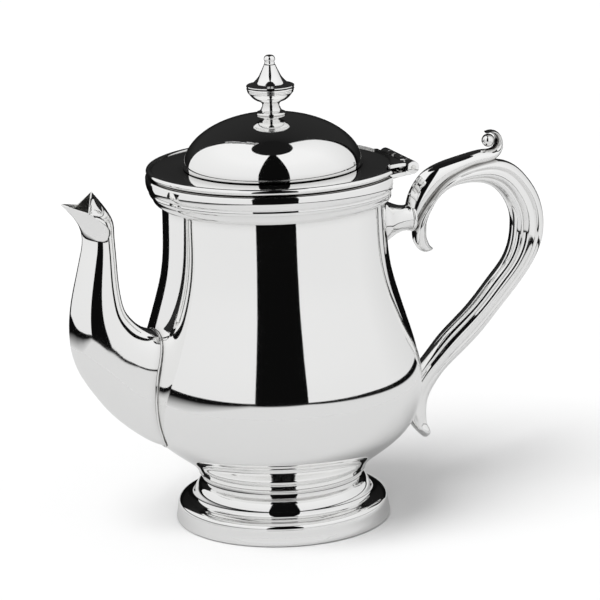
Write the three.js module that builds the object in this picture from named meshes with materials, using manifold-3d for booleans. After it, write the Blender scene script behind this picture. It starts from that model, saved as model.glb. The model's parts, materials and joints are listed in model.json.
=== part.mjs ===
// Silver teapot with a hinged domed lid, a high spout and a scroll handle.
// Millimetres, +Z up, +X towards the handle, -X towards the spout, symmetric about the XZ plane.
// All dimensions are from the body's axis at the underside of the foot. The finished group is
// then moved along X, so that the origin is below the middle of the whole pot's length.
import * as THREE from "three";
import { mergeVertices } from "three/addons/utils/BufferGeometryUtils.js";
import Module from "manifold-3d";

const wasm = await Module();
wasm.setup();

// ---------------------------------------------------------------- driving dimensions
const GAP = 0.3; // between pieces that are soldered or rest on each other
const SHEET = 1.2; // wall of the raised and spun pieces
const RING_STEPS = 40; // facets round the large turned pieces
const SMALL_STEPS = 16; // facets round the finial and other small turned pieces

const NECK_RADIUS = 48.8;
const RIM_TOP = 154.2;
const RIM_RADIUS = 55;
const RIM_BOTTOM = 139.6;
const FOOT_RADIUS = 47.1;
const BODY_FLOOR = 21.3;

const MIDDLE_X = 15.95; // from the body's axis to the middle of the pot's length

const HINGE = { x: 58.3, z: 153, barrel: 2.75, bore: 1.32, pin: 1.22, length: 34, knuckles: 5 };
const LAND = { x: 41, radius: 50.6 }; // beyond this plane the rims are trimmed to this radius

const LID_BOTTOM = RIM_TOP + GAP;
const LID_TOP = 156.8;
const LID_RADIUS = 54.6;
const DOME_RADIUS = 38.5;
const DOME_BASE = 157.1;
const DOME_APEX = 179.3;
const BEZEL_RADIUS = NECK_RADIUS - SHEET - 0.6;

const SPOUT_WALL = 1.2;
const STUD_RADIUS = 1.3;
const STUD_HOLE = STUD_RADIUS + GAP;

// ---------------------------------------------------------------- materials
const silver = (name, shade, roughness) => {
  const material = new THREE.MeshStandardMaterial({ metalness: 1, roughness });
  material.color.setRGB(shade, shade, shade * 0.985);
  material.name = name;
  return material;
};
const POLISHED = silver("polished_silver", 0.9, 0.08);
const INTERIOR = silver("interior_silver", 0.72, 0.3);
const BRASS = new THREE.MeshStandardMaterial({ color: 0xb59a55, metalness: 1, roughness: 0.35 });

const teapot = new THREE.Group();
teapot.name = "teapot";
teapot.position.x = -MIDDLE_X;

function piece(name, geometry, material = POLISHED) {
  const mesh = new THREE.Mesh(geometry, material);
  mesh.name = name;
  teapot.add(mesh);
  return mesh;
}

// ---------------------------------------------------------------- shape helpers
const v2 = ([r, z]) => new THREE.Vector2(r, z);

// A smooth line through a few [r, z] or [x, z] points.
function smooth(points, steps) {
  return new THREE.SplineCurve(points.map(v2)).getPoints(steps).map((p) => [p.x, p.y]);
}

// A quarter or other arc of an ellipse, from angle a to angle b in degrees.
function arc(cr, cz, rr, rz, a, b, steps) {
  const turn = Math.PI / 180;
  return Array.from({ length: steps + 1 }, (_, i) => {
    const t = (a + ((b - a) * i) / steps) * turn;
    return [cr + rr * Math.cos(t), cz + rz * Math.sin(t)];
  });
}

// Moves each point of an open line sideways by d, to its left.
function offset(line, d) {
  return line.map(([r, z], i) => {
    const a = line[Math.max(i - 1, 0)];
    const b = line[Math.min(i + 1, line.length - 1)];
    const length = Math.hypot(b[0] - a[0], b[1] - a[1]);
    return [Math.max(r - ((b[1] - a[1]) / length) * d, 0), z + ((b[0] - a[0]) / length) * d];
  });
}

// Turns an outline of [r, z] points about Z. A ring's outline closes on itself.
function turned(outline, steps = RING_STEPS) {
  return new THREE.LatheGeometry(outline.map(v2), steps).rotateX(Math.PI / 2);
}
const ring = (outline, steps) => turned([...outline, outline[0]], steps);

function solid(geometry) {
  const bare = geometry.clone();
  bare.deleteAttribute("normal");
  bare.deleteAttribute("uv");
  const merged = mergeVertices(bare, 1e-4);
  const mesh = new wasm.Mesh({
    numProp: 3,
    vertProperties: new Float32Array(merged.attributes.position.array),
    triVerts: new Uint32Array(merged.index.array),
  });
  return new wasm.Manifold(mesh);
}

function geometryOf(manifold) {
  const mesh = manifold.getMesh();
  const geometry = new THREE.BufferGeometry();
  geometry.setAttribute("position", new THREE.BufferAttribute(new Float32Array(mesh.vertProperties), 3));
  geometry.setIndex(new THREE.BufferAttribute(new Uint32Array(mesh.triVerts), 1));
  return geometry.toNonIndexed();
}

// Six times the volume inside a closed set of triangles, negative if they face inwards.
function signedVolume(positions, index) {
  const at = (i) => new THREE.Vector3().fromArray(positions, 3 * i);
  let sum = 0;
  for (let i = 0; i < index.length; i += 3) {
    sum += at(index[i]).dot(at(index[i + 1]).cross(at(index[i + 2])));
  }
  return sum;
}

// Skins a row of rings of equal length. An open row gets flat caps, a cyclic row none.
function loft(rings, cyclic = false) {
  const n = rings[0].length;
  const positions = rings.flat().flatMap((p) => [p.x, p.y, p.z]);
  const index = [];
  const rows = cyclic ? rings.length : rings.length - 1;
  for (let i = 0; i < rows; i++) {
    for (let j = 0; j < n; j++) {
      const k = (j + 1) % n;
      const a = i * n;
      const b = ((i + 1) % rings.length) * n;
      index.push(a + j, a + k, b + k, a + j, b + k, b + j);
    }
  }
  if (!cyclic) {
    [0, rings.length - 1].forEach((row) => {
      const centre = rings[row].reduce((sum, p) => sum.add(p), new THREE.Vector3()).divideScalar(n);
      const c = positions.length / 3;
      positions.push(centre.x, centre.y, centre.z);
      for (let j = 0; j < n; j++) {
        const k = (j + 1) % n;
        const edge = row === 0 ? [k, j] : [j, k];
        index.push(row * n + edge[0], row * n + edge[1], c);
      }
    });
  }
  const geometry = new THREE.BufferGeometry();
  geometry.setAttribute("position", new THREE.Float32BufferAttribute(positions, 3));
  geometry.setIndex(signedVolume(positions, index) < 0 ? index.reverse() : index);
  return geometry;
}

// A rounded section across the XZ plane, from the point a to the point b, with half-width w.
// power 2 is an ellipse, and a higher power is squarer. grow moves the outline out.
function section([ax, az], [bx, bz], w, { power = 2, sides = 12, grow = 0 } = {}) {
  const centre = new THREE.Vector3((ax + bx) / 2, 0, (az + bz) / 2);
  const half = new THREE.Vector3((ax - bx) / 2, 0, (az - bz) / 2);
  half.setLength(half.length() + grow);
  return Array.from({ length: sides }, (_, i) => {
    const t = (2 * Math.PI * i) / sides;
    const c = Math.sign(Math.cos(t)) * Math.abs(Math.cos(t)) ** (2 / power);
    const s = Math.sign(Math.sin(t)) * Math.abs(Math.sin(t)) ** (2 / power);
    return centre.clone().addScaledVector(half, c).add(new THREE.Vector3(0, (w + grow) * s, 0));
  });
}

function box(x0, x1, y0, y1, z0, z1) {
  const geometry = new THREE.BoxGeometry(x1 - x0, y1 - y0, z1 - z0);
  return geometry.translate((x0 + x1) / 2, (y0 + y1) / 2, (z0 + z1) / 2);
}

// A round bar along Y, from y0 to y1, at [x, z].
function barY(radius, y0, y1, x, z, steps = 16) {
  return new THREE.CylinderGeometry(radius, radius, y1 - y0, steps).translate(x, (y0 + y1) / 2, z);
}

// ---------------------------------------------------------------- body
const bellyLine = smooth(
  [[36.8, 22], [38.2, 24.3], [44.9, 30.6], [51.8, 36], [58, 42.7], [61.7, 52.5],
    [62.1, 63.5], [59.2, 78], [52.5, 101], [48.5, 119]], 13);
const neckLine = [[48.4, 127], [48.5, 138], [NECK_RADIUS, 143], [NECK_RADIUS, RIM_TOP]];
const bodyOutside = [[0, BODY_FLOOR], [30, BODY_FLOOR], ...bellyLine, ...neckLine];
const bodyInside = offset(bodyOutside, SHEET);
bodyInside[bodyInside.length - 1][1] = RIM_TOP;
bodyInside[0][1] = BODY_FLOOR + SHEET;

// The body as a full solid of its outer shape, grown by d.
function bodySolid(d) {
  return solid(turned([...offset(bodyOutside, -d), [0, RIM_TOP]]));
}

const STRAINER = { rows: [52, 58.5, 65, 71.5, 78], pitch: 6.4, hole: 1.5, x: 56 };

// Round holes through the wall inside the spout's foot, in staggered rows.
function strainerHoles() {
  const holes = STRAINER.rows.flatMap((z, i) => {
    const ys = i % 2 === 0 ? [-1, 0, 1] : [-0.5, 0.5];
    return ys.map((k) => {
      const hole = new THREE.CylinderGeometry(STRAINER.hole, STRAINER.hole, 20, 6);
      return solid(hole.rotateZ(Math.PI / 2).translate(-STRAINER.x, k * STRAINER.pitch, z));
    });
  });
  return holes.reduce((sum, hole) => sum.add(hole));
}

const shell = solid(turned([...bodyOutside, ...[...bodyInside].reverse()]));
piece("body_shell", geometryOf(shell.subtract(strainerHoles())));

// ---------------------------------------------------------------- foot
const collarInner = 31.6;
piece("foot_collar", ring([
  [collarInner, 18.9], [33.6, 18.9], [36, 19.2], [37.2, 20.1], [36.9, BODY_FLOOR - GAP],
  [collarInner, BODY_FLOOR - GAP]]));

const footOutside = [
  [45.7, 7.9], [45.2, 8.9], [43.2, 9.4], [40.4, 10.1], [38.4, 11.4], [38.9, 13.2],
  [38.3, 15.1], [36, 16.2], [34.6, 16.9], [33.4, 18.6]];
const footInside = [[31.4, 18.6], [31.4, 16.6], [36.6, 13.6], [36.6, 10.8], [39.4, 8.6], [43.6, 7.9]];
piece("foot", ring([...footOutside, ...footInside]));

piece("foot_base_band", ring([
  [45.5, 0], [FOOT_RADIUS, 0], [FOOT_RADIUS - 0.3, 2.6], [46.1, 5.2], [46.1, 7], [45.7, 7.6],
  [44.6, 7.6], [44.6, 4]]));

// ---------------------------------------------------------------- rims, trimmed at the hinge
// Cuts away whatever lies past the land plane and outside the land radius.
function trimmedAtHinge(manifold) {
  const beyond = solid(box(LAND.x, 70, -60, 60, 120, 170));
  const kept = solid(new THREE.CylinderGeometry(LAND.radius, LAND.radius, 60, RING_STEPS)
    .rotateX(Math.PI / 2).translate(0, 0, 145));
  return manifold.subtract(beyond.subtract(kept));
}

const rimSection = [
  [NECK_RADIUS + GAP, RIM_BOTTOM], [49.6, RIM_BOTTOM], [51.4, 142.4], [52.2, 145],
  [53.4, 145.5], [53.7, 148.2], [54.2, 148.7], [54.9, 151], [RIM_RADIUS, 153],
  [54.4, RIM_TOP], [NECK_RADIUS + GAP, RIM_TOP]];
piece("body_rim_moulding", geometryOf(trimmedAtHinge(solid(ring(rimSection)))));

// ---------------------------------------------------------------- lid
const flangeInner = DOME_RADIUS - SHEET + 0.2;
piece("lid_flange", geometryOf(trimmedAtHinge(solid(ring([
  [flangeInner, LID_BOTTOM], [52, LID_BOTTOM], [52, LID_TOP], [46, LID_TOP - 0.35],
  [flangeInner, LID_TOP]])))));

piece("lid_rim_bead", geometryOf(trimmedAtHinge(solid(ring([
  [52 + GAP, LID_BOTTOM + 0.5], [53.4, LID_BOTTOM + 0.5], [LID_RADIUS - 0.2, 155.6], [LID_RADIUS, 156.2],
  [LID_RADIUS - 0.3, 157], [53.4, 157.5], [52 + GAP, 157.1]])))));

const DOME_STEPS = 8;
const domeOutside = arc(0, DOME_BASE, DOME_RADIUS, DOME_APEX - DOME_BASE, 0, 88, DOME_STEPS);
domeOutside.push([STUD_HOLE, DOME_APEX]);
const domeInside = arc(0, DOME_BASE, DOME_RADIUS - SHEET, DOME_APEX - DOME_BASE - SHEET, 0, 86, DOME_STEPS - 2);
domeInside.push([STUD_HOLE, DOME_APEX - SHEET]);
piece("lid_dome", ring([...domeOutside, ...[...domeInside].reverse()]));

piece("lid_bezel", ring([
  [BEZEL_RADIUS - SHEET, 146], [BEZEL_RADIUS - 0.4, 146], [BEZEL_RADIUS, 148],
  [BEZEL_RADIUS, LID_BOTTOM - GAP], [BEZEL_RADIUS - SHEET, LID_BOTTOM - GAP]]), INTERIOR);

// ---------------------------------------------------------------- finial
const BASE_TOP = 181.5;
const CUP_TOP = 190.6;
piece("finial_base", ring([
  [STUD_HOLE, DOME_APEX + GAP], [5.6, DOME_APEX + 0.1], [6.5, 180.2], [5.5, 181.2], [4.6, BASE_TOP],
  [STUD_HOLE, BASE_TOP]], SMALL_STEPS));

const cupSide = smooth([[3.7, 183.4], [4.6, 184.2], [8.4, 186.9], [10.2, 189.7]], 4);
piece("finial_cup", ring([
  [STUD_HOLE, BASE_TOP + GAP], [4.3, BASE_TOP + GAP], ...cupSide, [10.2, CUP_TOP],
  [STUD_HOLE, CUP_TOP]], SMALL_STEPS));

const bellSide = smooth([[10.3, 191.5], [6.9, 193], [4, 196.6], [2.6, 200.3]], 5);
const BELL_BOTTOM = CUP_TOP + GAP;
piece("finial_bell", turned([
  [0, 196], [STUD_HOLE, 196], [STUD_HOLE, BELL_BOTTOM], [9.8, BELL_BOTTOM], ...bellSide,
  [0, 200.3]], SMALL_STEPS));

piece("finial_button", turned([
  [0, 200.6], [2.5, 200.6], [2.1, 201.4], [2.4, 202.1], [2.3, 203.5], [1.4, 204.4],
  [0, 204.6]], SMALL_STEPS));

piece("finial_stud", turned([
  [0, 173.4], [STUD_RADIUS, 173.4], [STUD_RADIUS, 195.7], [0, 195.7]], 12), BRASS);
piece("finial_washer", ring([
  [STUD_HOLE, 176.8], [5, 176.8], [5, 177.7], [STUD_HOLE, 177.7]], SMALL_STEPS), INTERIOR);
piece("finial_nut", ring([
  [STUD_HOLE, 174.1], [3.4, 174.1], [3.4, 176.5], [STUD_HOLE, 176.5]], 6), BRASS);

// ---------------------------------------------------------------- hinge
const pitch = HINGE.length / HINGE.knuckles;
const knuckleRange = (i) => [-HINGE.length / 2 + i * pitch, -HINGE.length / 2 + (i + 1) * pitch];
const bodyKnuckles = [0, 2, 4];
const lidKnuckles = [1, 3];

// A flat plate from the rim to the barrel, wide at the rim, between the heights z0 and z1.
function hingePlate(rimHalf, z0, z1) {
  const half = HINGE.length / 2;
  const outline = new THREE.Shape([[43, -rimHalf], [57, -half], [57, half], [43, rimHalf]].map(v2));
  const plate = new THREE.ExtrudeGeometry(outline, { depth: z1 - z0, bevelEnabled: false });
  const neck = new THREE.CylinderGeometry(LAND.radius + GAP, LAND.radius + GAP, 60, RING_STEPS);
  return solid(plate.translate(0, 0, z0)).subtract(solid(neck.rotateX(Math.PI / 2).translate(0, 0, 145)));
}

// Joins a plate to its own knuckles, cleared round the other leaf's knuckles and bored for the pin.
function hingeLeaf(plate, own, others) {
  const { x, z, barrel, bore } = HINGE;
  let leaf = plate;
  own.forEach((i) => {
    const [y0, y1] = knuckleRange(i);
    const inset = GAP / 2;
    leaf = leaf.add(solid(barY(barrel, y0 + inset, y1 - inset, x, z)));
  });
  others.forEach((i) => {
    const [y0, y1] = knuckleRange(i);
    leaf = leaf.subtract(solid(barY(barrel + GAP, y0 - GAP / 2, y1 + GAP / 2, x, z)));
  });
  return leaf.subtract(solid(barY(bore, -30, 30, x, z)));
}

piece("hinge_body_leaf", geometryOf(hingeLeaf(hingePlate(24, 149.9, 151.8), bodyKnuckles, lidKnuckles)));
piece("hinge_lid_leaf", geometryOf(hingeLeaf(hingePlate(20, 153.9, 155.6), lidKnuckles, bodyKnuckles)));
piece("hinge_pin", barY(HINGE.pin, -HINGE.length / 2 + 0.4, HINGE.length / 2 - 0.4, HINGE.x, HINGE.z), INTERIOR);

// ---------------------------------------------------------------- spout
// Sections from the body to the mouth: front point, back point, half-width, squareness.
const spoutSections = [
  [[-52, 39.5], [-40, 84], 14.4, 3.8],
  [[-60.6, 41.8], [-45.5, 86.5], 14.4, 3.8],
  [[-68.2, 47.1], [-50.5, 88.3], 14.2, 3.4],
  [[-76.5, 54.6], [-54.8, 89.4], 13.8, 3],
  [[-83.7, 64.4], [-59.2, 90.6], 13.3, 2.8],
  [[-88.9, 73], [-62.9, 92.8], 12.8, 2.7],
  [[-92, 82], [-66.3, 96.2], 12.2, 2.6],
  [[-92.9, 92.6], [-69.2, 100.6], 11.3, 2.6],
  [[-91.9, 104], [-70.9, 107], 10.1, 2.5],
  [[-89.6, 115], [-71.6, 115], 8.8, 2.3],
  [[-87.1, 125.5], [-71.8, 125.5], 7.6, 2.1],
  [[-86, 134.2], [-72.2, 134.8], 7.1, 2],
  [[-87.4, 139.4], [-72.7, 140.5], 7.9, 2],
];
// The beak's rim runs straight from its front tip to each side corner, and up to its back peak.
const BEAK = { tip: [-94.6, 0, 148.8], side: [-85.2, 9.4, 145.8], peak: [-80.8, 0, 152.9] };
const SPOUT_SIDES = 16;

const spoutRings = (grow) =>
  spoutSections.map(([a, b, w, power]) => section(a, b, w, { power, sides: SPOUT_SIDES, grow }));

// The open end, moved out by grow.
function mouthRing(grow) {
  const corners = [BEAK.tip, BEAK.side, BEAK.peak, BEAK.side].map((p) => new THREE.Vector3(...p));
  corners[3].y *= -1;
  const middle = corners[0].clone().add(corners[2]).divideScalar(2);
  const scale = 1 + grow / BEAK.side[1];
  const quarter = SPOUT_SIDES / 4;
  return Array.from({ length: SPOUT_SIDES }, (_, i) => {
    const corner = Math.floor(i / quarter);
    const p = corners[corner].clone().lerp(corners[(corner + 1) % 4], (i % quarter) / quarter);
    return p.set(middle.x + (p.x - middle.x) * scale, p.y * scale, p.z);
  });
}

const spoutOuter = [...spoutRings(0), mouthRing(0)];
const spoutInner = [...spoutRings(-SPOUT_WALL), mouthRing(-SPOUT_WALL)];
const spoutPipe = solid(loft([...spoutInner.reverse(), ...spoutOuter], true));
piece("spout", geometryOf(spoutPipe.subtract(bodySolid(GAP))));

const BEAD = { width: 1.5, height: 1.4 };
const beadBlank = solid(loft(spoutRings(BEAD.width)));
const bead = beadBlank
  .intersect(bodySolid(BEAD.height))
  .subtract(solid(loft(spoutRings(GAP))))
  .subtract(bodySolid(GAP));
piece("spout_joint_bead", geometryOf(bead));

// ---------------------------------------------------------------- handle
const SOCKET_Z = 127.2;
const alongX = (geometry) => geometry.rotateY(Math.PI / 2).translate(0, 0, SOCKET_Z);
const socketSide = [[9.9, 47.5], [9.2, 50.4], [7.2, 53.6], [5.7, 57], [5.4, 60], [6.1, 61.6], [6.1, 62.6]];
const socketBlank = solid(alongX(turned([[0, 47.5], ...socketSide, [0, 62.6]], 24)));
piece("handle_socket", geometryOf(socketBlank.subtract(bodySolid(GAP))));

piece("handle_socket_collar", alongX(turned([
  [0, 62.9], [5.6, 62.9], [6.2, 63.5], [5.6, 64.1], [0, 64.1]], 20)));

const STRAP_SIDES = 12;
// Sections of the scroll from its inner tail to its foot: outer point, inner point, half-width.
const strapSections = [
  [[72.4, 111.1], [73.4, 112.2], 1.5],
  [[69.2, 110.9], [71.4, 114], 2.6],
  [[66, 112.9], [70, 116.8], 3.6],
  [[64.2, 117.9], [70, 119.6], 4.4],
  [[64.9, 123.6], [70.4, 124.2], 4.8],
  [[68.4, 129.6], [72.5, 129.8], 4.8],
  [[72.7, 135.6], [75.5, 134.4], 4.8],
  [[78, 141.4], [80.5, 138.2], 4.9],
  [[85.4, 145.8], [86.4, 139.8], 5],
  [[94, 147.9], [93, 140.1], 5.2],
  [[103, 149], [99.6, 138.5], 5.4],
  [[111.3, 146.8], [104.9, 134.8], 5.6],
  [[118, 140.8], [108.9, 129], 5.7],
  [[123.4, 132.3], [110.8, 123.4], 5.8],
  [[126.2, 121.4], [110.9, 117.4], 5.8],
  [[125.4, 111.4], [109.9, 110.9], 5.8],
  [[121.4, 102.2], [106.8, 103.8], 5.7],
  [[114.2, 92.3], [100.2, 95.9], 5.6],
  [[104.6, 81.6], [91.4, 86], 5.5],
  [[94.8, 71], [83, 78.3], 5.3],
  [[85.2, 62.7], [75, 71], 5.2],
  [[77.8, 56.4], [68.3, 63.4], 5],
  [[72.3, 49.6], [60.5, 54.4], 4.9],
  [[69, 42.8], [58, 44.8], 4.8],
  [[68.4, 37.2], [58.6, 38.3], 4.8],
  [[69, 31.6], [61.6, 32.4], 4.9],
  [[69.8, 27.2], [65.8, 27.4], 4.6],
];
const strap = solid(loft(strapSections.map(([a, b, w]) =>
  section(a, b, w, { power: 2.6, sides: STRAP_SIDES }))));
piece("handle_scroll", geometryOf(strap.subtract(bodySolid(GAP))));

// The leaf lies on the scroll from the socket to the thumb curl, and its end rolls up round a ball.
const leafSections = [
  [[64.5, 132.6], [67.8, 122.4], 4.7],
  [[63.2, 137.6], [70.4, 129.6], 5.1],
  [[65.1, 142.3], [74, 134], 5.3],
  [[69.4, 146.9], [78.6, 138.4], 5.3],
  [[75.6, 150], [83.2, 141.4], 5.2],
  [[83, 152], [88.4, 143.4], 5],
  [[90.6, 153.5], [93.8, 144.8], 4.8],
  [[97.4, 154.4], [99.6, 146.4], 4.6],
  [[101.4, 154.5], [104.4, 150], 4.4],
  [[103.6, 156], [106.7, 153.6], 4.2],
  [[104.4, 158.2], [107.1, 158], 3.8],
  [[103.4, 160.3], [105.1, 161.6], 3.4],
  [[101.3, 161.5], [101.9, 163.1], 2.9],
  [[99.6, 161.3], [99.6, 162.5], 2.4],
];
const BALL = { x: 100.6, z: 158, radius: 3.1 };
const ball = (radius) => new THREE.SphereGeometry(radius, SMALL_STEPS, 10).translate(BALL.x, 0, BALL.z);
const leafBlank = solid(loft(leafSections.map(([a, b, w]) =>
  section(a, b, w, { power: 2.4, sides: STRAP_SIDES }))));
const strapRoom = solid(loft(strapSections.slice(3).map(([a, b, w]) =>
  section(a, b, w + 4, { power: 8, sides: 4 * STRAP_SIDES, grow: GAP }))));
piece("handle_leaf", geometryOf(leafBlank.subtract(strapRoom).subtract(solid(ball(BALL.radius + GAP)))));
piece("handle_curl", ball(BALL.radius));

export default teapot;
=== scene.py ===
"""The looks of a silver teapot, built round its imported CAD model.

Outlines are in millimetres from the body's axis and the underside of the foot. The CAD frame
gives the axis and the places of the hinge, the rims and the finial.
"""
import json
from math import acos, atan2, cos, pi, radians, sin

import bmesh
import bpy
import numpy as np
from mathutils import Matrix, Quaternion, Vector


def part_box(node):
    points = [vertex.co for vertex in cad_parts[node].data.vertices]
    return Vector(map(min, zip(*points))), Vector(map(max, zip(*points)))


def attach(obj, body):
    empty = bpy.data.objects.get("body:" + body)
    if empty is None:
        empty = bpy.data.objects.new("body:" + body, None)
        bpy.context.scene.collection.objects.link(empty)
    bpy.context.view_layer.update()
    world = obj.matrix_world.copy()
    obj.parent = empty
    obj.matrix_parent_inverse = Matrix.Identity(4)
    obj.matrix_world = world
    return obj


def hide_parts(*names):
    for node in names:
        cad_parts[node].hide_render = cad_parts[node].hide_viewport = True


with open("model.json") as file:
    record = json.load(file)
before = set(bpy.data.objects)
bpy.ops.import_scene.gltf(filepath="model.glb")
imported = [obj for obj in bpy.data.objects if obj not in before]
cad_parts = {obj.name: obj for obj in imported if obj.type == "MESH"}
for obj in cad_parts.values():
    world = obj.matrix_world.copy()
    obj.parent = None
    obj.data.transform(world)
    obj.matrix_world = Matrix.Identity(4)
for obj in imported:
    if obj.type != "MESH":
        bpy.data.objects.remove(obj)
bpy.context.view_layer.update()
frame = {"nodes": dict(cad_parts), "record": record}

MM = 0.001


def middle(node):
    low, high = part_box(node)
    return (low + high) / 2 / MM


def low(node):
    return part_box(node)[0] / MM


def high(node):
    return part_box(node)[1] / MM


AXIS_X = middle("body_shell").x
HINGE = Vector((middle("hinge_pin").x - AXIS_X, 0, middle("hinge_pin").z))
RIM_TOP = high("body_rim_moulding").z
LID_BOTTOM = low("lid_flange").z
LID_TOP = high("lid_flange").z
DOME_APEX = high("lid_dome").z

TURN_STEPS = 192  # round the large turned pieces
SHEET = 1.2  # wall of the shell
LAND_X = 41  # the rims are cut back to LAND_RADIUS beyond this plane, at the hinge
LAND_RADIUS = 50.6
WELD = 0.002  # vertices nearer than this are one
SHARP_EDGE = 38  # degrees between two faces that keep a crisp edge


# ------------------------------------------------------------------ materials
def nodes_of(material):
    material.use_nodes = True
    tree = material.node_tree
    return tree, tree.nodes["Principled BSDF"]


def add(tree, kind, inputs=(), **settings):
    node = tree.nodes.new(kind)
    for key, value in settings.items():
        setattr(node, key, value)
    for key, value in dict(inputs).items():
        if isinstance(value, bpy.types.NodeSocket):
            tree.links.new(value, node.inputs[key])
        else:
            node.inputs[key].default_value = value
    return node


def metal(name, bright, shade_colour, roughness, haze, scratch, recess_shade):
    """A polished or satin metal: haze varies its roughness, and painted shade darkens its recesses,
    where ambient occlusion finds them hemmed in.
    """
    material = bpy.data.materials.new(name)
    tree, shader = nodes_of(material)
    shader.inputs["Metallic"].default_value = 1.0
    place = add(tree, "ShaderNodeTexCoord").outputs["Object"]
    cloud = add(tree, "ShaderNodeTexNoise", {"Vector": place, "Scale": 28.0, "Detail": 5.0})
    wipe = add(tree, "ShaderNodeMapping", {"Vector": place, "Scale": (90.0, 90.0, 1400.0)})
    lines = add(tree, "ShaderNodeTexNoise", {"Vector": wipe.outputs[0], "Scale": 1.0, "Detail": 3.0})
    both = add(tree, "ShaderNodeMath", {0: cloud.outputs["Fac"], 1: lines.outputs["Fac"]},
               operation="MULTIPLY")
    rough = add(tree, "ShaderNodeMapRange",
                {"Value": both.outputs[0], "From Min": 0.12, "From Max": 0.42,
                 "To Min": roughness, "To Max": roughness + haze})
    tree.links.new(rough.outputs[0], shader.inputs["Roughness"])
    pits = add(tree, "ShaderNodeTexNoise", {"Vector": place, "Scale": 900.0, "Detail": 2.0})
    bump = add(tree, "ShaderNodeBump",
               {"Height": pits.outputs["Fac"], "Strength": scratch, "Distance": 0.00005})
    tree.links.new(bump.outputs[0], shader.inputs["Normal"])
    # Painted shade: the base colour darkens in recesses and between parts, as far as ambient occlusion
    # finds the metal hemmed in.
    shade = add(tree, "ShaderNodeAmbientOcclusion", {"Distance": 0.004}, samples=8)
    amount = add(tree, "ShaderNodeMapRange",
                 {"Value": shade.outputs["AO"], "From Min": 0.25, "From Max": 0.95,
                  "To Min": recess_shade, "To Max": 0.0})
    mix = add(tree, "ShaderNodeMix",
              {"Factor": amount.outputs[0], 6: (*bright, 1), 7: (*shade_colour, 1)}, data_type="RGBA")
    tree.links.new(mix.outputs[2], shader.inputs["Base Color"])
    return material


# The last number of each metal is how far painted shade darkens its recesses.
SILVER = metal("silver", (0.955, 0.955, 0.95), (0.2, 0.19, 0.18), 0.03, 0.035, 0.02, 0.55)
SATIN = metal("satin_silver", (0.86, 0.86, 0.84), (0.3, 0.28, 0.25), 0.22, 0.14, 0.12, 0.4)
BRASS = metal("brass", (0.86, 0.66, 0.33), (0.3, 0.2, 0.1), 0.2, 0.12, 0.1, 0.3)
LOOKS = {"polished_silver": SILVER, "interior_silver": SATIN, "brass": BRASS}


# ------------------------------------------------------------------ curves
def spline(points, steps):
    """A natural cubic spline through points, as steps + 1 evenly spaced parameter values."""
    points = np.asarray(points, float)
    flat = points.reshape(len(points), -1)
    centres = points.mean(axis=1) if points.ndim == 3 else points
    knots = np.concatenate([[0], np.cumsum(np.linalg.norm(np.diff(centres, axis=0), axis=1))])
    gap = np.diff(knots)
    n = len(knots)
    system = np.eye(n)
    right = np.zeros((n, flat.shape[1]))
    for i in range(1, n - 1):
        system[i, i - 1:i + 2] = gap[i - 1], 2 * (gap[i - 1] + gap[i]), gap[i]
        right[i] = 6 * ((flat[i + 1] - flat[i]) / gap[i] - (flat[i] - flat[i - 1]) / gap[i - 1])
    bend = np.linalg.solve(system, right)
    at = np.linspace(0, knots[-1], steps + 1)
    i = np.clip(np.searchsorted(knots, at, side="right") - 1, 0, n - 2)
    h = gap[i][:, None]
    a = (knots[i + 1] - at)[:, None] / h
    b = 1 - a
    curve = (a**3 - a) * bend[i] + (b**3 - b) * bend[i + 1]
    value = a * flat[i] + b * flat[i + 1] + curve * h * h / 6
    return value.reshape(len(at), *points.shape[1:])


def smooth(points, steps=24):
    return [tuple(p) for p in spline(points, steps)]


def arc(r0, z0, rr, rz, start, end, steps=24):
    """Part of an ellipse about (r0, z0), from start to end in degrees."""
    turns = np.radians(np.linspace(start, end, steps + 1))
    return [(r0 + rr * cos(t), z0 + rz * sin(t)) for t in turns]


def offset(line, distance):
    """The line moved to its left by distance."""
    line = np.asarray(line, float)
    along = np.gradient(line, axis=0)
    along /= np.linalg.norm(along, axis=1)[:, None]
    moved = line + distance * np.stack([-along[:, 1], along[:, 0]], axis=1)
    moved[:, 0] = np.maximum(moved[:, 0], 0)
    return [tuple(p) for p in moved]


def rounded(points, radius, steps=3):
    """Rounds the corners of a closed outline. A point may give its own radius as a third number."""
    out = []
    count = len(points)
    for i, point in enumerate(points):
        here = np.array(point[:2], float)
        size = point[2] if len(point) > 2 else radius
        before = np.array(points[i - 1][:2], float) - here
        after = np.array(points[(i + 1) % count][:2], float) - here
        reach = min(size, 0.45 * np.linalg.norm(before), 0.45 * np.linalg.norm(after))
        start = here + before / np.linalg.norm(before) * reach
        end = here + after / np.linalg.norm(after) * reach
        for t in np.linspace(0, 1, steps + 1):
            out.append(tuple((1 - t)**2 * start + 2 * t * (1 - t) * here + t * t * end))
    return out


# ------------------------------------------------------------------ meshes
def piece(name, vertices, faces, body, stands_for=(), look="polished_silver", sharp=SHARP_EDGE):
    """A smooth piece from vertices in millimetres. It rides on body and stands for CAD nodes."""
    mesh = bpy.data.meshes.new(name)
    mesh.from_pydata([tuple(np.asarray(v) * MM) for v in vertices], [], faces)
    mesh.validate()
    work = bmesh.new()
    work.from_mesh(mesh)
    bmesh.ops.remove_doubles(work, verts=work.verts, dist=WELD * MM)
    bmesh.ops.recalc_face_normals(work, faces=work.faces)
    work.to_mesh(mesh)
    work.free()
    mesh.shade_smooth()
    mesh.set_sharp_from_angle(angle=radians(sharp))
    thing = bpy.data.objects.new(name, mesh)
    bpy.context.scene.collection.objects.link(thing)
    mesh.materials.append(LOOKS[look])
    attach(thing, body)
    if stands_for:
        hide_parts(*stands_for)
    return thing


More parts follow.
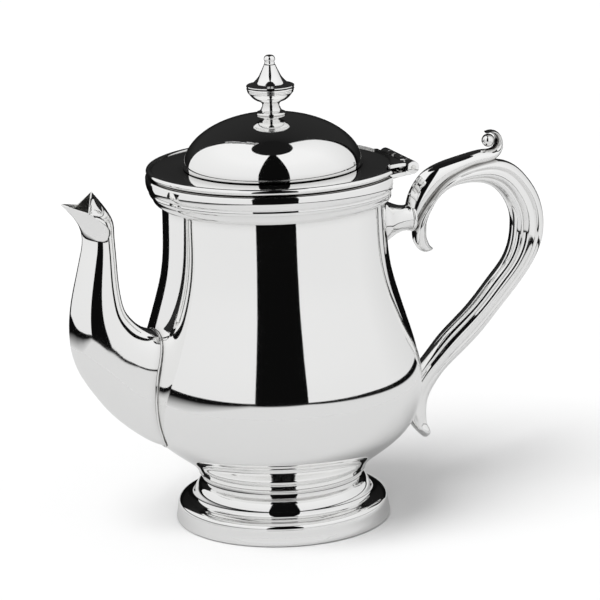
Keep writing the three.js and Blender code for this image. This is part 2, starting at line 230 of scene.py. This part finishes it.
def skin(rings, closed_rows=False, caps=False):
    """Vertices and faces of a surface through rings of equal length."""
    rings = [np.asarray(r, float) for r in rings]
    n = len(rings[0])
    vertices = [p for r in rings for p in r]
    faces = []
    for i in range(len(rings) if closed_rows else len(rings) - 1):
        a, b = i * n, (i + 1) % len(rings) * n
        faces += [(a + j, a + (j + 1) % n, b + (j + 1) % n, b + j) for j in range(n)]
    if caps:
        faces += [tuple(range(n)), tuple(range(len(vertices) - n, len(vertices)))[::-1]]
    return vertices, faces


def angles(steps, corners=()):
    turns = [2 * pi * i / steps for i in range(steps)]
    return sorted(turns + [c % (2 * pi) for c in corners])


def turned(name, outline, body, stands_for=(), look="polished_silver", steps=TURN_STEPS,
           trimmed=False, closed=True):
    """Turns an outline of (radius, z) about the axis, cut back at the hinge if trimmed."""
    corners = []
    if trimmed:
        widest = max(p[0] for p in outline)
        corners = [s * acos(LAND_X / r) for r in (LAND_RADIUS, widest) for s in (1, -1)]
    turns = angles(steps, corners)

    def radius(r, t):
        limit = LAND_X / cos(t) if cos(t) > 0.1 else 1e3
        return min(r, max(limit, LAND_RADIUS)) if trimmed else r

    rings = [[(AXIS_X + radius(r, t) * cos(t), radius(r, t) * sin(t), z) for t in turns]
             for r, z in (p[:2] for p in outline)]
    return piece(name, *skin(rings, closed_rows=closed), body, stands_for, look)


# ------------------------------------------------------------------ body
BODY_FLOOR = low("body_shell").z
BODY_LINE = smooth(
    [(36.8, 21.9), (38.1, 24.3), (40.8, 27.3), (45.1, 30.7), (51.8, 36), (57.4, 42), (61, 50),
     (62.3, 60), (60.9, 72), (57.2, 85), (52.8, 99.5), (50.1, 110), (49.05, 117), (48.6, 123),
     (48.35, 131), (48.25, 140)], 110)


STRAINER_ROWS = (52, 58.5, 65, 71.5, 78)
STRAINER_PITCH = 6.4
STRAINER_HOLE = 1.5  # radius
STRAINER_SPAN = (46, 66)  # from inside the wall to outside it


def strainer_cutter():
    """Staggered round bars through the wall inside the foot of the spout."""
    vertices, faces = [], []
    for row, z in enumerate(STRAINER_ROWS):
        for k in ((-1, 0, 1), (-0.5, 0.5))[row % 2]:
            rings = [[(AXIS_X - x, STRAINER_PITCH * k + STRAINER_HOLE * cos(t),
                       z + STRAINER_HOLE * sin(t)) for t in angles(24)] for x in STRAINER_SPAN]
            more, skins = skin(rings, caps=True)
            faces += [tuple(i + len(vertices) for i in f) for f in skins]
            vertices += more
    mesh = bpy.data.meshes.new("strainer_cutter")
    mesh.from_pydata([tuple(v * MM) for v in vertices], [], faces)
    return bpy.data.objects.new("strainer_cutter", mesh)


def make_body():
    wall = [(0, BODY_FLOOR), (31, BODY_FLOOR), *BODY_LINE, (48.7, RIM_TOP - 0.4)]
    outline = [*wall, (48.4, RIM_TOP), (47.8, RIM_TOP), *offset(wall, SHEET)[::-1]]
    shell = turned("body_shell_skin", outline, "pot", ["body_shell"], closed=False)
    cutter = strainer_cutter()
    bpy.context.scene.collection.objects.link(cutter)
    cut = shell.modifiers.new("strainer", "BOOLEAN")
    cut.object = cutter
    cut.solver = "EXACT"
    bpy.context.view_layer.update()
    graph = bpy.context.evaluated_depsgraph_get()
    holed = bpy.data.meshes.new_from_object(shell.evaluated_get(graph))
    shell.modifiers.clear()
    shell.data = holed
    holed.set_sharp_from_angle(angle=radians(SHARP_EDGE))
    bpy.data.objects.remove(cutter)


def make_rim():
    top_band = smooth([(54.35, 148.9), (54.75, 150.1), (54.93, 151.3), (54.97, 153.5)], 14)
    middle_bead = smooth([(53.2, 146.1), (53.55, 146.6), (53.72, 147.4), (53.7, 148.3)], 10)
    low_slope = smooth([(49.9, 142.1), (51.3, 143), (52.1, 144.2), (52.4, 145.6)], 10)
    turned("rim_moulding", [
        (48.3, 141.8), (49.4, 141.7), *low_slope, (52.6, 145.9), *middle_bead, (53.9, 148.6),
        *top_band, (54.7, RIM_TOP - 0.1), (54.4, RIM_TOP), (48.4, RIM_TOP)],
        "pot", ["body_rim_moulding"], trimmed=True)


# ------------------------------------------------------------------ foot
def make_foot():
    turned("foot_collar_ring", [
        *arc(36.1, 21.2, 0.6, 0.6, 80, -80, 8), (34.6, 20.5), (31.6, 20.5), (31.6, 21.4)],
        "pot", ["foot_collar"])
    turned("foot_turning", [
        *smooth([(34, 20.5), (34.3, 19), (35, 17.5), (36.6, 16.3), (37.6, 15), (38.5, 13.2),
                 (39, 11.6), (39.7, 10.6), (41.3, 9.8), (43.2, 9.5), (44.9, 8.9), (45.9, 7.9),
                 (46.2, 6.9)], 90),
        (44.6, 6.9), (41, 7.1), (36.6, 9.4), (35.4, 13.2), (31.6, 14.6), (31.6, 20.5)], "pot", ["foot"])
    turned("foot_band", rounded([
        (44.8, 0.4), (45.5, 0), (47.1, 0, 0.2), (47.1, 0.9, 0.6), (46.5, 4, 3), (46.2, 7, 0.25),
        (45.2, 7.2), (44.8, 7)], 0.2), "pot", ["foot_base_band"])


# ------------------------------------------------------------------ lid
def make_lid():
    turned("lid_top_plate", rounded([
        (37, LID_BOTTOM), (52.1, LID_BOTTOM), (52.3, 155.4), (52.3, 156.5, 0.2), (51.6, LID_TOP - 0.1),
        (37, LID_TOP - 0.1)], 0.15),
        "lid", ["lid_flange"], trimmed=True)
    turned("lid_edge_bead", [
        (52.3, 155.1), *arc(53.4, 156.2, 1.2, 1.3, -100, 150, 16), (52.3, 156.6)],
        "lid", ["lid_rim_bead"], trimmed=True)
    rise = DOME_APEX - LID_TOP
    outer = arc(0, LID_TOP + 0.2, 38.5, rise - 0.2, 0, 90, 48)[:-1]
    inner = arc(0, LID_TOP + 0.2, 37.3, rise - 1.4, 0, 90, 40)[:-1]
    turned("lid_dome_skin", [*outer, (1.2, DOME_APEX), (1.2, DOME_APEX - SHEET), *inner[::-1]],
           "lid", ["lid_dome"])
    radius = high("lid_bezel").x - AXIS_X
    turned("lid_bezel_ring", rounded([
        (radius - SHEET, 146), (radius - 0.4, 146, 0.4), (radius, 148, 1),
        (radius, LID_BOTTOM - 0.2), (radius - SHEET, LID_BOTTOM - 0.2)], 0.2),
        "lid", ["lid_bezel"], "interior_silver")


def make_finial():
    steps = 96
    turned("finial_foot", [
        (1.2, DOME_APEX - 0.6), (5.8, DOME_APEX - 0.9), *arc(5.6, 179.4, 0.9, 0.8, -60, 80, 8),
        *smooth([(5.4, 180.3), (4.5, 181), (4.1, 181.8)], 6), (1.2, 181.8)],
        "lid", ["finial_base"], steps=steps)
    turned("finial_cup_turning", [
        (1.2, 181.8), *smooth([(4.1, 181.8), (3.65, 183.2), (4.2, 184.2), (6.1, 185.1), (8.8, 187.4),
                               (9.5, 188.4)], 18),
        *arc(9.55, 188.75, 0.3, 0.3, -60, 60, 5), *arc(9.75, 189.4, 0.3, 0.3, -60, 60, 5),
        *arc(9.8, 190.2, 0.45, 0.45, -60, 60, 5), (1.2, 190.75)],
        "lid", ["finial_cup"], steps=steps)
    turned("finial_spire", [
        (1.2, 190.8), (9.7, 190.8), *smooth([(10.3, 191.2), (10.3, 191.5), (9.2, 191.9), (6.7, 193.3),
                                             (4.9, 195.4), (3.9, 197.3), (3.1, 199), (2.5, 200.4)], 32),
        (1.2, 200.5)],
        "lid", ["finial_bell"], steps=steps)
    turned("finial_tip", [
        (0.01, 200.6), (2.2, 200.6), *smooth([(2.3, 201), (2.05, 201.6), (2.3, 202.3), (2.35, 203.4),
                                              (1.5, 204.4), (0.01, 204.6)], 18)],
        "lid", ["finial_button"], steps=steps, closed=False)


# ------------------------------------------------------------------ hinge
def bar(radius, y0, y1, x, z, sides=40, bevel=0.25):
    """A round bar along Y with rounded ends, as vertices and faces."""
    stations = [(y0, 0.0), (y0, radius - bevel), (y0 + 0.3 * bevel, radius - 0.3 * bevel),
                (y0 + bevel, radius), (y1 - bevel, radius), (y1 - 0.3 * bevel, radius - 0.3 * bevel),
                (y1, radius - bevel), (y1, 0.0)]
    rings = [[(AXIS_X + x + r * cos(t), y, z + r * sin(t)) for t in angles(sides)]
             for y, r in stations]
    return skin(rings)


def plate(outline, z0, z1):
    """A flat plate from an outline of (x, y), as vertices and faces."""
    shape = rounded(outline, 0.8)
    rings = []
    for z, inset in ((z0, 0.25), (z0 + 0.25, 0), (z1 - 0.25, 0), (z1, 0.25)):
        middle_x = sum(p[0] for p in shape) / len(shape)
        rings.append([(AXIS_X + x - inset * np.sign(x - middle_x), y - inset * np.sign(y), z)
                      for x, y in shape])
    return skin(rings, caps=True)


def joined(*parts):
    vertices, faces = [], []
    for more, skins in parts:
        faces += [tuple(i + len(vertices) for i in f) for f in skins]
        vertices += list(more)
    return vertices, faces


KNUCKLES = 5
BARREL = 2.75  # radius of a knuckle
PIN = 1.1
BODY_LEAF_Z = (149.9, 151.8)
LID_LEAF_Z = (153.9, 155.6)


def make_hinge():
    length = high("hinge_pin").y - low("hinge_pin").y + 0.8
    pitch = length / KNUCKLES
    reach = LAND_RADIUS - 0.6

    def knuckle(i):
        y0 = -length / 2 + i * pitch
        return bar(BARREL, y0 + 0.12, y0 + pitch - 0.12, HINGE.x, HINGE.z)

    def tongue(i, z0, z1):
        y0 = -length / 2 + i * pitch
        near, far = y0 + 0.2, y0 + pitch - 0.2
        return plate([(54, near), (57.6, near), (57.6, far), (54, far)], z0, z1)

    def leaf(half, z0, z1):
        inner = [(reach * cos(t), reach * sin(t))
                 for t in np.linspace(-1, 1, 13) * atan2(half, reach - 4)]
        outer = [(55, 17), (55, -17)]
        return plate([*inner, *outer], z0, z1)

    piece("hinge_bracket", *joined(
        leaf(23, *BODY_LEAF_Z), *[knuckle(i) for i in (0, 2, 4)],
        *[tongue(i, *BODY_LEAF_Z) for i in (0, 2, 4)]), "pot", ["hinge_body_leaf"])
    piece("hinge_lid_plate", *joined(
        leaf(19.5, *LID_LEAF_Z), *[knuckle(i) for i in (1, 3)],
        *[tongue(i, *LID_LEAF_Z) for i in (1, 3)]), "lid", ["hinge_lid_leaf"])
    piece("hinge_pin_rod", *bar(PIN, -length / 2 - 0.2, length / 2 + 0.2, HINGE.x, HINGE.z, 24), "pot",
          ["hinge_pin"], "interior_silver")


# ------------------------------------------------------------------ spout
SPOUT_SIDES = 72
SPOUT_STEPS = 480  # along the curve, before it is cut at the body
SPOUT_ROWS = 97
# Sections from inside the body to the neck: front point, back point, half-width, squareness.
SPOUT_SECTIONS = [
    ((-40, 33), (-30, 80), 14.4, 3.8),
    ((-52, 38.2), (-40, 84), 14.4, 3.8),
    ((-60.6, 41.8), (-46.5, 86.5), 14.4, 3.8),
    ((-68.2, 47.1), (-51.5, 88.6), 14.2, 3.4),
    ((-76.5, 54.8), (-56, 89.8), 13.8, 3),
    ((-83.7, 64.4), (-60, 91.1), 13.3, 2.8),
    ((-88.9, 73), (-63.2, 93.1), 12.8, 2.7),
    ((-92, 82), (-66.3, 96.2), 12.2, 2.6),
    ((-92.9, 92.6), (-69.3, 100.6), 11.3, 2.6),
    ((-91.9, 104), (-70.9, 107), 10.1, 2.5),
    ((-89.6, 115), (-71.6, 115), 8.8, 2.3),
    ((-87.1, 125.5), (-71.9, 125.5), 7.6, 2.1),
    ((-86, 134.2), (-72.2, 134.8), 7.1, 2),
    ((-87.5, 139.6), (-72.8, 140.5), 7.8, 2),
]
# Below the neck the spout's front half is wider by this share, and its back half narrower.
SPOUT_BIAS = 0.09
TIP = (-94.6, 148.8)
CORNER = (-85, 145.8)
PEAK = (-80.8, 152.9)
MOUTH_HALF = 9.4
SPOUT_WALL = 1.0
SPOUT_SUNK = 0.6  # how far the tube goes into the body
SEAM_PROUD = 0.1
LIP_RISE = 0.35
EDGE_RISE = 0.15


def section(outer, inner, half, power=2.0, sides=SPOUT_SIDES, grow=0.0, bias=0.0):
    """A rounded ring across the XZ plane, from the outer point to the inner point.

    bias widens its outer half and narrows its inner half.
    """
    outer, inner = np.array(outer, float), np.array(inner, float)
    centre, reach = (outer + inner) / 2, (outer - inner) / 2
    reach *= 1 + grow / np.linalg.norm(reach)
    ring = []
    for t in np.linspace(0, 2 * pi, sides, endpoint=False):
        c = np.sign(cos(t)) * abs(cos(t))**(2 / power)
        s = np.sign(sin(t)) * abs(sin(t))**(2 / power)
        x, z = centre + reach * c
        ring.append((AXIS_X + x, (half + grow) * s * (1 + bias * c), z))
    return ring


def beak(grow=0.0):
    """The mouth's edge: a pointed front lip, low side corners and a raised back."""
    ring = []
    for t in np.linspace(0, 2 * pi, SPOUT_SIDES, endpoint=False):
        side = 1 if t <= pi else -1
        u = (t if t <= pi else 2 * pi - t) / (pi / 2)
        start, end, v = (TIP, CORNER, u) if u <= 1 else (CORNER, PEAK, u - 1)
        x, z = (start[k] + (end[k] - start[k]) * v for k in (0, 1))
        y = MOUTH_HALF * (u + 0.07 * sin(pi * u)) if u <= 1 else MOUTH_HALF * (2 - u)
        shrink = 1 + grow / MOUTH_HALF
        middle_x = (TIP[0] + PEAK[0]) / 2
        ring.append((AXIS_X + middle_x + (x - middle_x) * shrink, side * y * shrink, z))
    return ring


def spout_surface(grow):
    """The spout's rows from just inside the body's wall to the mouth, and its seam's points."""
    biases = np.interp(range(len(SPOUT_SECTIONS)), (6, 11), (SPOUT_BIAS, 0))
    control = [section(a, b, w, p, grow=grow, bias=bias)
               for (a, b, w, p), bias in zip(SPOUT_SECTIONS, biases)] + [beak(grow)]
    dense = spline(control, SPOUT_STEPS)
    out = np.hypot(dense[:, :, 0] - AXIS_X, dense[:, :, 1])
    wall = np.interp(dense[:, :, 2], [p[1] for p in BODY_LINE], [p[0] for p in BODY_LINE])
    rows = np.empty((SPOUT_ROWS, SPOUT_SIDES, 3))
    seam = np.empty((SPOUT_SIDES, 3))
    for j in range(SPOUT_SIDES):
        first = int(np.argmax(out[:, j] > wall[:, j] - SPOUT_SUNK))
        seam[j] = dense[int(np.argmax(out[:, j] > wall[:, j] + SEAM_PROUD)), j]
        at = first + (SPOUT_STEPS - first) * np.linspace(0, 1, SPOUT_ROWS)
        for k in range(3):
            rows[:, j, k] = np.interp(at, np.arange(SPOUT_STEPS + 1), dense[:, j, k])
    return rows, seam


def sweep(path, normals, widths, heights, sides=14):
    """A closed bead along a closed path, with a half-width and a half-height at each point."""
    path = np.asarray(path, float)
    along = np.roll(path, -1, axis=0) - np.roll(path, 1, axis=0)
    along /= np.linalg.norm(along, axis=1)[:, None]
    across = np.cross(along, normals)
    across /= np.linalg.norm(across, axis=1)[:, None]
    rings = []
    for p, a, n, wide, tall in zip(path, across, normals, widths, heights):
        rings.append([p + wide * cos(t) * a + tall * sin(t) * n for t in angles(sides)])
    return skin(rings, closed_rows=True)


def make_spout():
    outer, seam = spout_surface(0.0)
    inner, _ = spout_surface(-SPOUT_WALL)
    lip = (outer[-1] + inner[-1]) / 2 + (0, 0, LIP_RISE)
    outer_edge, inner_edge = ((rows[-1] * 3 + lip) / 4 + (0, 0, EDGE_RISE) for rows in (outer, inner))
    piece("spout_tube", *skin([*outer, outer_edge, lip]), "pot", ["spout"], sharp=32)
    piece("spout_lining", *skin([lip, inner_edge, *inner[::-1]]), "pot", ["spout"], "interior_silver",
          sharp=32)
    centre = seam.mean(axis=0)
    normals = seam - (AXIS_X, 0, 0)
    normals[:, 2] = 0
    normals /= np.linalg.norm(normals, axis=1)[:, None]
    away = seam - centre
    away /= np.linalg.norm(away, axis=1)[:, None]
    # The bead is full at the sides, and fades over the spout's back and below it.
    fullness = 0.4 + 0.6 * np.abs(np.sin(np.linspace(0, 2 * pi, SPOUT_SIDES, endpoint=False)))
    bead = sweep(seam + 0.4 * away, normals, 0.6 * fullness, 0.45 * fullness)
    piece("spout_seam_bead", *bead, "pot", ["spout_joint_bead"])


# ------------------------------------------------------------------ handle
SOCKET_Z = middle("handle_socket_collar").z


def turned_along_x(name, outline, stands_for, steps=72):
    """Turns an outline of (radius, x) about the socket's level axis."""
    rings = [[(AXIS_X + x, r * cos(t), SOCKET_Z + r * sin(t)) for t in angles(steps)]
             for r, x in outline]
    piece(name, *skin(rings), "pot", stands_for)


# Sections of the scroll from its inner tail to its foot: outer point, inner point, half-width.
SCROLL = [
    ((72.6, 111.2), (73.4, 112.1), 0.8),
    ((70, 110.8), (72, 113.4), 2.2),
    ((66.9, 112.2), (70.6, 116), 3.4),
    ((64.7, 115.9), (69.9, 118.3), 4.1),
    ((64.3, 120.4), (69.8, 121.4), 4.6),
    ((65.2, 125), (70.2, 125.5), 4.8),
    ((68.2, 130.4), (72.4, 130.2), 4.8),
    ((72.4, 135.6), (75.3, 134.6), 4.8),
    ((78, 141.4), (80.5, 138.4), 4.9),
    ((85.4, 146), (86.4, 139.9), 5),
    ((94, 148.4), (93, 140), 5.2),
    ((103, 149.4), (99.6, 138.5), 5.4),
    ((111.3, 146.9), (104.9, 134.8), 5.6),
    ((118, 140.8), (108.9, 129), 5.7),
    ((123.4, 132.3), (110.8, 123.4), 5.8),
    ((126.2, 121.4), (110.9, 117.4), 5.8),
    ((125.4, 111.4), (109.9, 110.9), 5.8),
    ((121.4, 102.2), (106.8, 103.8), 5.7),
    ((114.2, 92.3), (100.2, 95.9), 5.6),
    ((104.6, 81.6), (91.4, 86), 5.5),
    ((94.8, 71), (83, 78.3), 5.3),
    ((85.2, 62.7), (75, 71), 5.2),
    ((77.8, 56.4), (68.3, 63.4), 5),
    ((72.3, 49.6), (60.5, 54.4), 4.9),
    ((69, 42.8), (57, 44.8), 4.8),
    ((68.4, 37.2), (58.6, 38.3), 4.8),
    ((69, 31.6), (61.6, 32.4), 4.9),
    ((69.6, 27.6), (65.2, 27.9), 4.4),
    ((68.6, 26.4), (66.6, 26.5), 2.4),
]


# The grooves grow in over the hook, and run out in the lower tail.
GROOVE_DEPTH = np.interp(range(len(SCROLL)), (6, 11, 21, 27), (0, 0.19, 0.19, 0))


def ribbed(outer, inner, half, depth, sides=64):
    """A section with a round rib at each edge and a raised band between two grooves."""
    ring = np.array(section(outer, inner, half, 2.25, sides))
    for k, t in enumerate(np.linspace(0, 2 * pi, sides, endpoint=False)):
        across = abs(cos(t))**0.8 * np.sign(cos(t))
        groove = sum(np.exp(-((across - c) / 0.1)**2) for c in (-0.45, 0.4))
        ring[k, 1] *= 1 - depth * groove
    return ring


# The leaf lies on the scroll: outer point, inner point, half-width.
LEAF = [
    ((60.9, 132.6), (64.9, 122.2), 4.6),
    ((62.4, 137.8), (69.2, 129.2), 5.1),
    ((65.3, 142.8), (73.4, 134.6), 5.3),
    ((69.9, 147.3), (78.4, 139.4), 5.3),
    ((76.4, 150.2), (82.8, 142.8), 5.2),
    ((83.6, 152), (88.2, 145.4), 5),
    ((91, 153.5), (94, 147.2), 4.8),
    ((97, 154.3), (99.4, 147.8), 4.6),
    ((100.5, 154.3), (103.5, 149.3), 4.5),
    ((103.2, 155.2), (106.6, 152.6), 4.2),
    ((104.3, 157.6), (107.1, 157), 3.8),
    ((103.5, 160), (105.6, 160.8), 3.3),
    ((101.3, 161.3), (102.3, 162.6), 2.8),
    ((99.6, 161.2), (99.8, 162.2), 2.4),
]


def make_handle():
    flare = smooth([(10.6, 47.4), (9.4, 50.6), (7.9, 53), (6.5, 56), (5.7, 59), (5.6, 61)], 24)
    turned_along_x("handle_socket_flare", [(0.01, 47), *flare, (5.9, 61.6), (5.9, 62.4), (0.01, 62.6)],
                   ["handle_socket"])
    turned_along_x("handle_socket_ring", [(0.01, 62.4), *arc(5.4, 63.4, 0.9, 0.9, -80, 80, 10),
                                          (0.01, 64.3)], ["handle_socket_collar"])
    rows = spline([ribbed(*s, depth) for s, depth in zip(SCROLL, GROOVE_DEPTH)], 280)
    piece("handle_scroll_casting", *skin(rows, caps=True), "pot", ["handle_scroll"], sharp=60)
    rows = spline([section(a, b, w, 1.5, 48) for a, b, w in LEAF], 130)
    piece("handle_thumb_leaf", *skin(rows, caps=True), "pot", ["handle_leaf"], sharp=60)
    ball = middle("handle_curl")
    outline = arc(0, 0, 2.9, 2.9, -89, 89, 24)
    rings = [[(ball.x + r * cos(t), y, ball.z + r * sin(t)) for t in angles(40)] for r, y in outline]
    piece("handle_curl_ball", *skin(rings, caps=True), "pot", ["handle_curl"])


# ------------------------------------------------------------------ fixings that stay as CAD solids
def dress_cad_nodes():
    slots = {s["node"]: s["material_slot"] for s in frame["record"]["subparts"]}
    for name, node in frame["nodes"].items():
        node.data.materials.clear()
        node.data.materials.append(LOOKS[slots[name]])


# ------------------------------------------------------------------ camera
VIEW_TURN = 19.0  # degrees from straight at the side, towards the spout
CAMERA_DISTANCE = 1251.6  # from the body's axis, measured level
CAMERA_HEIGHT = 419.7
# Degrees: aside from the body's axis, down from level, and round the line of sight.
CAMERA_YAW, CAMERA_PITCH, CAMERA_ROLL = 0.4587, 14.4808, -1.6762
FOCAL_LENGTH = 178.47


def make_camera():
    lens = bpy.data.cameras.new("camera")
    lens.lens = FOCAL_LENGTH
    lens.clip_start, lens.clip_end = 0.05, 20
    camera = bpy.data.objects.new("camera", lens)
    bpy.context.scene.collection.objects.link(camera)
    turn, aim, tilt = (radians(v) for v in (VIEW_TURN, VIEW_TURN + CAMERA_YAW, CAMERA_PITCH))
    camera.location = Vector((AXIS_X - CAMERA_DISTANCE * sin(turn), -CAMERA_DISTANCE * cos(turn),
                              CAMERA_HEIGHT)) * MM
    forward = Vector((sin(aim) * cos(tilt), cos(aim) * cos(tilt), -sin(tilt)))
    camera.rotation_mode = "QUATERNION"
    roll = Quaternion((0, 0, 1), radians(CAMERA_ROLL))
    camera.rotation_quaternion = forward.to_track_quat("-Z", "Y") @ roll
    bpy.context.scene.camera = camera


# ------------------------------------------------------------------ studio
# Radii and CURTAIN_TOP are in metres. The screens' heights are in millimetres, and their places in
# degrees round from straight behind the pot, with the camera's right positive.
CURTAIN_RADIUS = 0.3
CURTAIN_TOP = 1.2
ROOM_RADIUS = 11.5
FLOOR_RADIUS = 12
CEILING_GLOW = 0.01
FILL_GLOW = 0.6
KEY_ENERGY = 2.1
KEY_ANGLE = 40  # degrees across, which makes its shadow soft
KEY_DIRECTION = Vector((0.55, 0.25, -1))
WORLD_SHADE = 0.0035


def paper(name, shade):
    material = bpy.data.materials.new(name)
    _, shader = nodes_of(material)
    shader.inputs["Base Color"].default_value = (shade, shade, shade, 1)
    shader.inputs["Roughness"].default_value = 0.9
    shader.inputs["Specular IOR Level"].default_value = 0.0
    return material


def glow(name, strength=1.0):
    """A material that only gives light, with its tree and its light's node."""
    material = bpy.data.materials.new(name)
    material.use_nodes = True
    tree = material.node_tree
    tree.nodes.clear()
    light = add(tree, "ShaderNodeEmission", {"Color": (1, 1, 1, 1), "Strength": strength})
    add(tree, "ShaderNodeOutputMaterial", {"Surface": light.outputs[0]})
    return material, tree, light


def staged(name, vertices, faces, material, camera=False, glossy=False, diffuse=False):
    mesh = bpy.data.meshes.new(name)
    mesh.from_pydata([tuple(v) for v in vertices], [], faces)
    mesh.materials.append(material)
    mesh.shade_smooth()
    thing = bpy.data.objects.new(name, mesh)
    bpy.context.scene.collection.objects.link(thing)
    thing.visible_camera = camera
    thing.visible_glossy = glossy
    thing.visible_diffuse = diffuse
    thing.visible_shadow = False
    return thing


def curtain(name, columns, rows):
    """A glowing screen round the pot, seen only in the silver.

    rows(angle) gives the height, the glow and the shift in degrees of each point in the column at
    angle, and as many points for each column.
    """
    radius = CURTAIN_RADIUS
    vertices, values = [], []
    for angle in columns:
        for height, value, shift in rows(angle):
            turn = radians(angle + shift + VIEW_TURN)
            vertices.append((AXIS_X * MM + radius * sin(turn), radius * cos(turn), height * MM))
            values.append(value)
    tall = len(vertices) // len(columns)
    faces = [(i * tall + j, (i + 1) * tall + j, (i + 1) * tall + j + 1, i * tall + j + 1)
             for i in range(len(columns) - 1) for j in range(tall - 1)]
    material, tree, light = glow(name)
    own = add(tree, "ShaderNodeAttribute", attribute_name="glow")
    tree.links.new(own.outputs["Color"], light.inputs["Color"])
    thing = staged(name, vertices, faces, material, glossy=True)
    layer = thing.data.color_attributes.new("glow", "FLOAT_COLOR", "POINT")
    layer.data.foreach_set("color", [c for v in values for c in (v, v, v, 1)])


# Lower edges of the white screens: places, then heights.
RIGHT_EDGE = ((38, 59, 77, 111, 137, 160), (29, 37, 44, 58, 64, 69))
LEFT_EDGE = ((-162.5, -159, -120, -88, -38), (71, 71, 67, 60, 46))
# Upper edge of the grey table skirt: places, then heights.
SKIRT_EDGE = ((-180, -159, -120, -89, -30, 30, 78, 111, 137, 160, 180),
              (60, 59, 30, 16, 6, 12, 30, 44, 53, 61, 60))
SCREEN_HEIGHTS = np.concatenate([np.linspace(0, 0.3, 16), np.linspace(0.36, 1, 10)])
SCREEN_GLOW = ((100, 500, 1200), (0.82, 0.93, 0.93))  # heights, then glows
RIGHT_SPAN = (42, 160)
LEFT_SPAN = (-162.5, -50)
SKIRT_GLOW = 0.73
SKIRT_EDGE_GLOW = 0.46


def front_lean(height):
    """How far a white screen's front edge leans towards the camera, in degrees."""
    return np.interp(height, (250, 1200), (0, 8))


def right_rows(angle):
    bottom = np.interp(angle, *RIGHT_EDGE)
    near_edge = np.interp(angle, (42, 95), (1, 0))
    near_front = np.interp(angle, (110, 160), (0, 1))
    for v in SCREEN_HEIGHTS:
        height = bottom + (CURTAIN_TOP / MM - bottom) * v
        shift = np.interp(height, (60, 115, 240, 600), (0, 12, 10, 3)) * near_edge
        value = np.interp(height, *SCREEN_GLOW) - 0.1 * near_edge
        yield height, value, shift + near_front * front_lean(height)


def left_rows(angle):
    bottom = np.interp(angle, *LEFT_EDGE)
    near_edge = np.interp(angle, (-90, -50), (0, 1))
    near_front = np.interp(-angle, (110, 162), (0, 1))
    for v in SCREEN_HEIGHTS:
        height = bottom + (CURTAIN_TOP / MM - bottom) * v
        shift = np.interp(height, (200, 1200), (0, 17)) * near_edge
        value = np.interp(height, *SCREEN_GLOW)
        yield height, value, shift - near_front * front_lean(height)


def dim_rows(angle):
    return [(90, 0.008, 0), (160, 0.012, 0), (240, 0.026, 0), (CURTAIN_TOP / MM, 0.012, 0)]


def skirt_rows(angle):
    top = np.interp(angle, *SKIRT_EDGE)
    soft = 2 + 24 * max(-sin(radians(angle)), 0)**2
    yield 0, SKIRT_GLOW, 0
    yield max(top - soft, 0.5), SKIRT_GLOW, 0
    yield top + 0.1 * soft, SKIRT_EDGE_GLOW, 0
    yield top + soft, 0, 0


def disc(name, radius, z, material, **seen):
    edge = angles(96)
    vertices = [(AXIS_X * MM + radius * cos(t), radius * sin(t), z) for t in edge]
    staged(name, vertices, [tuple(range(len(edge)))], material, **seen)


def dome(name, radius, material, **seen):
    rows = [[(radius * cos(e) * cos(t), radius * cos(e) * sin(t), radius * sin(e))
             for t in angles(48)] for e in np.radians(np.linspace(-4, 88, 16))]
    staged(name, *skin(rows, caps=True), material, **seen)


def make_studio():
    curtain("screen_right", np.linspace(*RIGHT_SPAN, 40), right_rows)
    curtain("screen_left", np.linspace(*LEFT_SPAN, 40), left_rows)
    curtain("dim_wall_behind", np.linspace(-50, 46, 20), dim_rows)
    curtain("table_skirt", np.linspace(-180, 180, 121), skirt_rows)
    disc("dim_ceiling", CURTAIN_RADIUS, CURTAIN_TOP, glow("ceiling_glow", CEILING_GLOW)[0], glossy=True)
    disc("table_reflection", CURTAIN_RADIUS + 0.01, -0.0002, paper("table_grey", 0.63), glossy=True)
    disc("floor", FLOOR_RADIUS, -0.0004, paper("pale_floor", 0.9), camera=True, diffuse=True)
    dome("backdrop", ROOM_RADIUS, glow("pale_backdrop", 1.0)[0], camera=True)
    dome("fill_light", ROOM_RADIUS - 0.5, glow("fill_glow", FILL_GLOW)[0], diffuse=True)
    lamp = bpy.data.lights.new("key", "SUN")
    lamp.angle = radians(KEY_ANGLE)
    lamp.energy = KEY_ENERGY
    key = bpy.data.objects.new("key", lamp)
    key.rotation_euler = KEY_DIRECTION.to_track_quat("-Z", "Y").to_euler()
    key.visible_glossy = False
    bpy.context.scene.collection.objects.link(key)
    world = bpy.data.worlds.new("dark_room")
    world.use_nodes = True
    shade = (WORLD_SHADE, WORLD_SHADE, WORLD_SHADE, 1)
    world.node_tree.nodes["Background"].inputs["Color"].default_value = shade
    bpy.context.scene.world = world
    bpy.context.scene.view_settings.view_transform = "Standard"


make_camera()
dress_cad_nodes()
make_body()
make_rim()
make_foot()
make_lid()
make_finial()
make_hinge()
make_spout()
make_handle()
make_studio()
